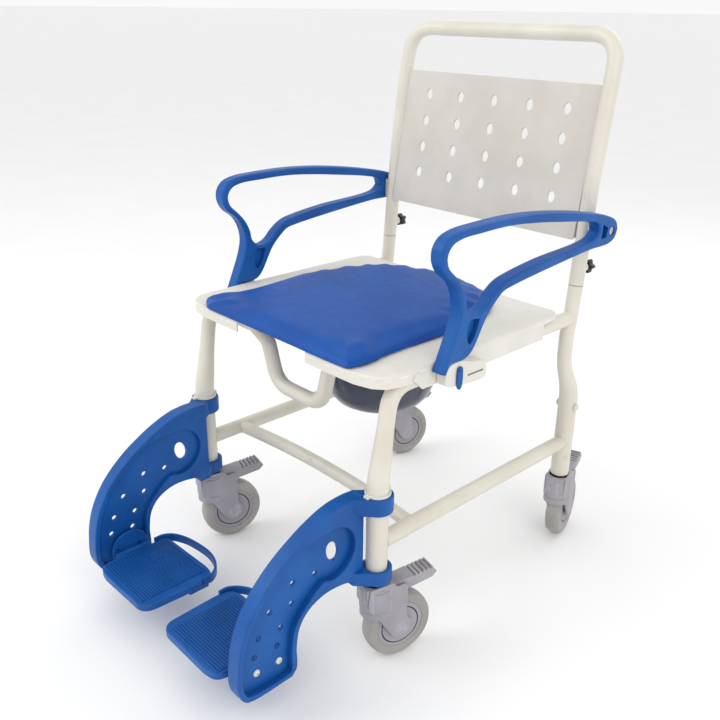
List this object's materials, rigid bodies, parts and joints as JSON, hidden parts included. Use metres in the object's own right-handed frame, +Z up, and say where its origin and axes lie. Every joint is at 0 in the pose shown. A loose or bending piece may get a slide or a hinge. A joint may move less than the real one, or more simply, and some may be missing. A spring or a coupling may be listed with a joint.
{
  "type": "commode chair",
  "caption": "Wheeled shower and commode chair with lift-off cushion, hanging pan, swing-up armrests and swing-away fold-up footrests.",
  "frame": {"origin": "on the floor, under the centre of the overall bounding box", "axes": "+Z up, the sitter faces -Y, the sitter's left is +X"},
  "size_m": [0.582, 0.9354, 1.0261],
  "materials": {
    "powder_coated_frame": "ivory powder coat, satin",
    "ivory_plastic": "ivory moulded plastic, satin",
    "panel_plastic": "grey beige moulded plastic, satin",
    "blue_plastic": "blue moulded plastic, satin",
    "blue_cushion": "smooth blue moulded foam skin",
    "grey_plastic": "grey moulded plastic",
    "grey_wheel": "grey non-marking tread",
    "smoked_plastic": "smoked translucent plastic",
    "black_plastic": "black moulded plastic",
    "steel": "zinc plated steel"
  },
  "bodies": {
    "frame": {"left_front_leg": "powder_coated_frame", "right_front_leg": "powder_coated_frame", "left_rear_leg": "powder_coated_frame", "right_rear_leg": "powder_coated_frame", "left_side_rail": "powder_coated_frame", "right_side_rail": "powder_coated_frame", "lower_crossbar": "powder_coated_frame", "front_seat_tube": "powder_coated_frame", "rear_seat_tube": "powder_coated_frame", "seat_plate": "ivory_plastic", "left_pan_rail": "ivory_plastic", "right_pan_rail": "ivory_plastic", "left_arm_bracket": "ivory_plastic", "right_arm_bracket": "ivory_plastic", "left_footrest_clip_ring": "ivory_plastic", "right_footrest_clip_ring": "ivory_plastic", "caster_stem_front_left": "steel", "caster_stem_front_right": "steel", "caster_stem_rear_left": "steel", "caster_stem_rear_right": "steel"},
    "cushion": {"seat_cushion": "blue_cushion"},
    "pan": {"pan": "smoked_plastic"},
    "backrest": {"back_hoop": "powder_coated_frame", "back_panel": "panel_plastic", "left_arm_pivot_pin": "steel", "right_arm_pivot_pin": "steel"},
    "left_arm": {"left_armrest": "blue_plastic"},
    "left_lever": {"left_arm_lock_lever": "blue_plastic"},
    "left_knob": {"left_back_knob": "black_plastic"},
    "left_hanger": {"left_footrest_hanger": "blue_plastic", "left_foot_hinge_bracket": "blue_plastic", "left_foot_hinge_pin": "steel", "left_hanger_screw_1": "steel", "left_hanger_screw_2": "steel"},
    "left_foot_plate": {"left_foot_plate": "blue_plastic", "left_heel_loop": "blue_plastic"},
    "right_arm": {"right_armrest": "blue_plastic"},
    "right_lever": {"right_arm_lock_lever": "blue_plastic"},
    "right_knob": {"right_back_knob": "black_plastic"},
    "right_hanger": {"right_footrest_hanger": "blue_plastic", "right_foot_hinge_bracket": "blue_plastic", "right_foot_hinge_pin": "steel", "right_hanger_screw_1": "steel", "right_hanger_screw_2": "steel"},
    "right_foot_plate": {"right_foot_plate": "blue_plastic", "right_heel_loop": "blue_plastic"},
    "caster_front_left": {"caster_housing_front_left": "grey_plastic"},
    "wheel_front_left": {"caster_wheel_front_left": "grey_wheel"},
    "pedal_front_left": {"caster_pedal_front_left": "grey_plastic"},
    "caster_front_right": {"caster_housing_front_right": "grey_plastic"},
    "wheel_front_right": {"caster_wheel_front_right": "grey_wheel"},
    "pedal_front_right": {"caster_pedal_front_right": "grey_plastic"},
    "caster_rear_left": {"caster_housing_rear_left": "grey_plastic"},
    "wheel_rear_left": {"caster_wheel_rear_left": "grey_wheel"},
    "pedal_rear_left": {"caster_pedal_rear_left": "grey_plastic"},
    "caster_rear_right": {"caster_housing_rear_right": "grey_plastic"},
    "wheel_rear_right": {"caster_wheel_rear_right": "grey_wheel"},
    "pedal_rear_right": {"caster_pedal_rear_right": "grey_plastic"}
  },
  "joints": [
    {"name": "left_armrest_swing", "type": "hinge", "parent": "backrest", "child": "left_arm", "pos_m": [0.278, 0.3655, 0.68], "axis": [-1, 0, 0], "range_deg": [0, 95]},
    {"name": "left_arm_lock_turn", "type": "hinge", "parent": "frame", "child": "left_lever", "pos_m": [0.286, -0.0415, 0.519], "axis": [1, 0, 0], "range_deg": [0, 60]},
    {"name": "left_knob_turn", "type": "hinge", "parent": "backrest", "child": "left_knob", "pos_m": [0.247, 0.3689, 0.604], "axis": [0, 1, 0], "range_deg": [0, 360]},
    {"name": "left_footrest_swing", "type": "hinge", "parent": "frame", "child": "left_hanger", "pos_m": [0.247, -0.1785, 0.25], "axis": [0, 0, 1], "range_deg": [0, 100]},
    {"name": "left_foot_plate_fold", "type": "hinge", "parent": "left_hanger", "child": "left_foot_plate", "pos_m": [0.199, -0.3905, 0.089], "axis": [0, 1, 0], "range_deg": [0, 90]},
    {"name": "right_armrest_swing", "type": "hinge", "parent": "backrest", "child": "right_arm", "pos_m": [-0.278, 0.3655, 0.68], "axis": [-1, 0, 0], "range_deg": [0, 95]},
    {"name": "right_arm_lock_turn", "type": "hinge", "parent": "frame", "child": "right_lever", "pos_m": [-0.286, -0.0415, 0.519], "axis": [1, 0, 0], "range_deg": [0, 60]},
    {"name": "right_knob_turn", "type": "hinge", "parent": "backrest", "child": "right_knob", "pos_m": [-0.247, 0.3689, 0.604], "axis": [0, 1, 0], "range_deg": [0, 360]},
    {"name": "right_footrest_swing", "type": "hinge", "parent": "frame", "child": "right_hanger", "pos_m": [-0.247, -0.1785, 0.25], "axis": [0, 0, -1], "range_deg": [0, 100]},
    {"name": "right_foot_plate_fold", "type": "hinge", "parent": "right_hanger", "child": "right_foot_plate", "pos_m": [-0.199, -0.3905, 0.089], "axis": [0, -1, 0], "range_deg": [0, 90]},
    {"name": "cushion_lift", "type": "slide", "parent": "frame", "child": "cushion", "axis": [0, 0, 1], "range_m": [0, 0.2]},
    {"name": "pan_slide", "type": "slide", "parent": "frame", "child": "pan", "axis": [0, 1, 0], "range_m": [0, 0.3]},
    {"name": "backrest_lift", "type": "slide", "parent": "frame", "child": "backrest", "axis": [0, 0.0807, 0.9967], "range_m": [0, 0.09]},
    {"name": "front_left_caster_swivel", "type": "hinge", "parent": "frame", "child": "caster_front_left", "pos_m": [0.247, -0.1785, 0.15], "axis": [0, 0, 1], "continuous": true},
    {"name": "front_left_wheel_spin", "type": "hinge", "parent": "caster_front_left", "child": "wheel_front_left", "pos_m": [0.25787, -0.13793, 0.0625], "axis": [-0.9659, 0.2588, 0], "continuous": true},
    {"name": "front_left_brake_pedal", "type": "hinge", "parent": "caster_front_left", "child": "pedal_front_left", "pos_m": [0.25683, -0.1418, 0.142], "axis": [-0.9659, 0.2588, 0], "range_deg": [0, 9]},
    {"name": "front_right_caster_swivel", "type": "hinge", "parent": "frame", "child": "caster_front_right", "pos_m": [-0.247, -0.1785, 0.15], "axis": [0, 0, 1], "continuous": true},
    {"name": "front_right_wheel_spin", "type": "hinge", "parent": "caster_front_right", "child": "wheel_front_right", "pos_m": [-0.23613, -0.13793, 0.0625], "axis": [-0.9659, 0.2588, 0], "continuous": true},
    {"name": "front_right_brake_pedal", "type": "hinge", "parent": "caster_front_right", "child": "pedal_front_right", "pos_m": [-0.23716, -0.1418, 0.142], "axis": [-0.9659, 0.2588, 0], "range_deg": [0, 9]},
    {"name": "rear_left_caster_swivel", "type": "hinge", "parent": "frame", "child": "caster_rear_left", "pos_m": [0.247, 0.3545, 0.15], "axis": [0, 0, 1], "continuous": true},
    {"name": "rear_left_wheel_spin", "type": "hinge", "parent": "caster_rear_left", "child": "wheel_rear_left", "pos_m": [0.23472, 0.39466, 0.0625], "axis": [-0.9563, -0.2924, 0], "continuous": true},
    {"name": "rear_left_brake_pedal", "type": "hinge", "parent": "caster_rear_left", "child": "pedal_rear_left", "pos_m": [0.23589, 0.39084, 0.142], "axis": [-0.9563, -0.2924, 0], "range_deg": [0, 9]},
    {"name": "rear_right_caster_swivel", "type": "hinge", "parent": "frame", "child": "caster_rear_right", "pos_m": [-0.247, 0.3545, 0.15], "axis": [0, 0, 1], "continuous": true},
    {"name": "rear_right_wheel_spin", "type": "hinge", "parent": "caster_rear_right", "child": "wheel_rear_right", "pos_m": [-0.23827, 0.39558, 0.0625], "axis": [-0.9781, 0.2079, 0], "continuous": true},
    {"name": "rear_right_brake_pedal", "type": "hinge", "parent": "caster_rear_right", "child": "pedal_rear_right", "pos_m": [-0.2391, 0.39167, 0.142], "axis": [-0.9781, 0.2079, 0], "range_deg": [0, 9]}
  ]
}
